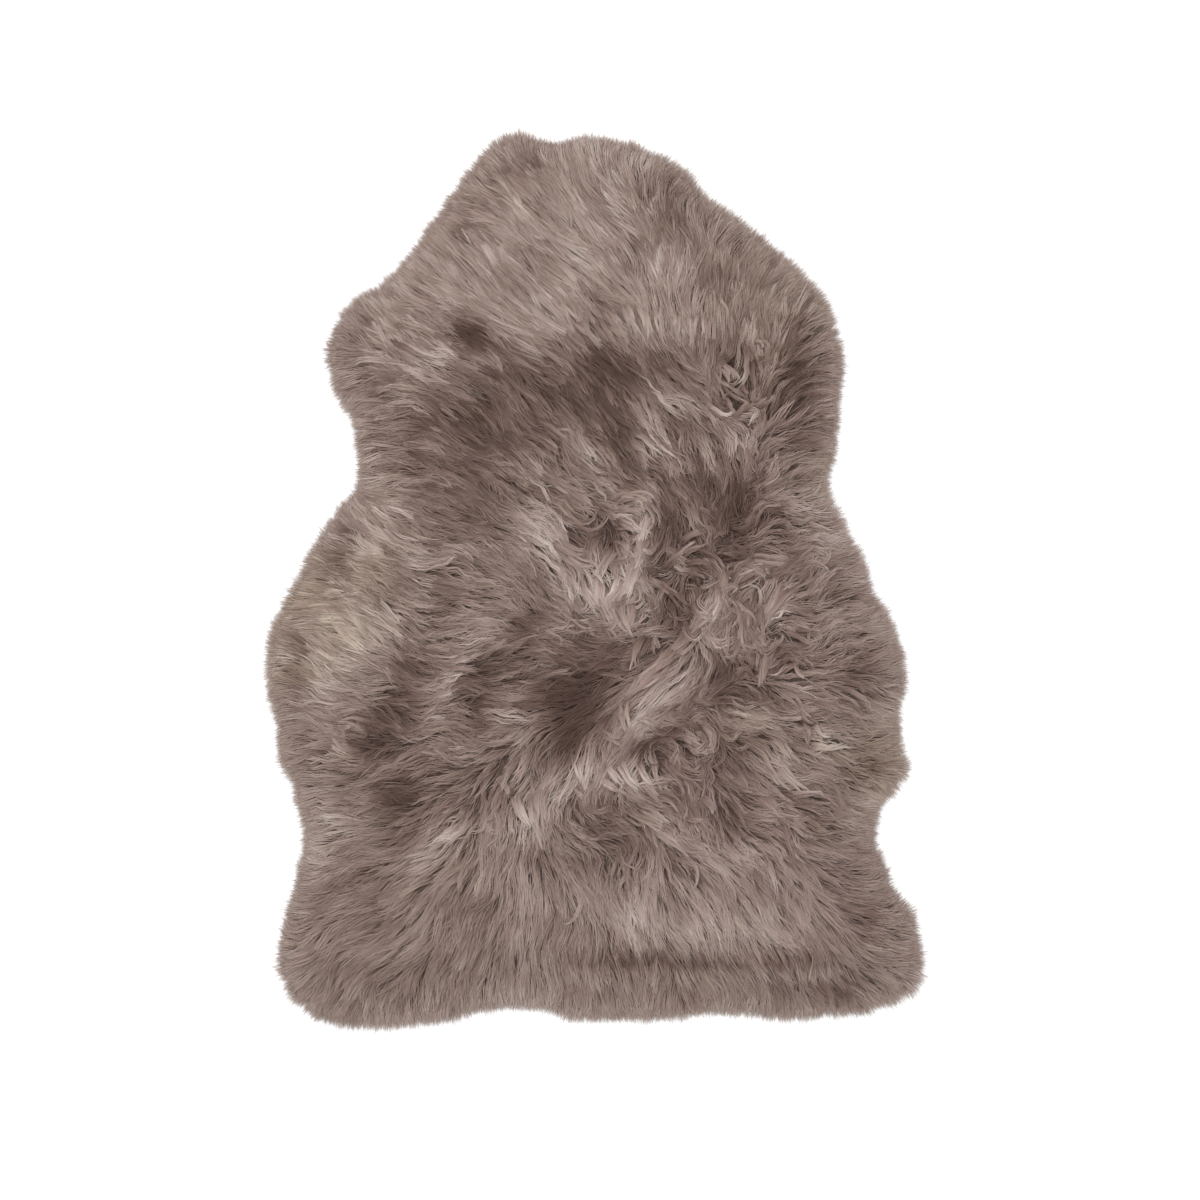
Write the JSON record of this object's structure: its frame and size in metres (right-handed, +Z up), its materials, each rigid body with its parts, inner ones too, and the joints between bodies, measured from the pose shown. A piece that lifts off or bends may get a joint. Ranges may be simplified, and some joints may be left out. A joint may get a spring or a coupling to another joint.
{
  "type": "sheepskin rug",
  "caption": "Taupe sheepskin rug in the natural outline of a single pelt, lying wool side up, with deep combed wool and soft locks all round its rim.",
  "frame": {"origin": "on the floor, under the middle of the rug's bounding box", "axes": "+Y towards the narrow neck end, along the longest side; +X to the right as seen from above with the neck end up; +Z up, out of the wool"},
  "size_m": [0.657, 0.898, 0.0533],
  "materials": {
    "wool": "soft combed wool in taupe, matt with a faint silky sheen"
  },
  "bodies": {
    "root": {"sheepskin": "wool"}
  },
  "joints": []
}
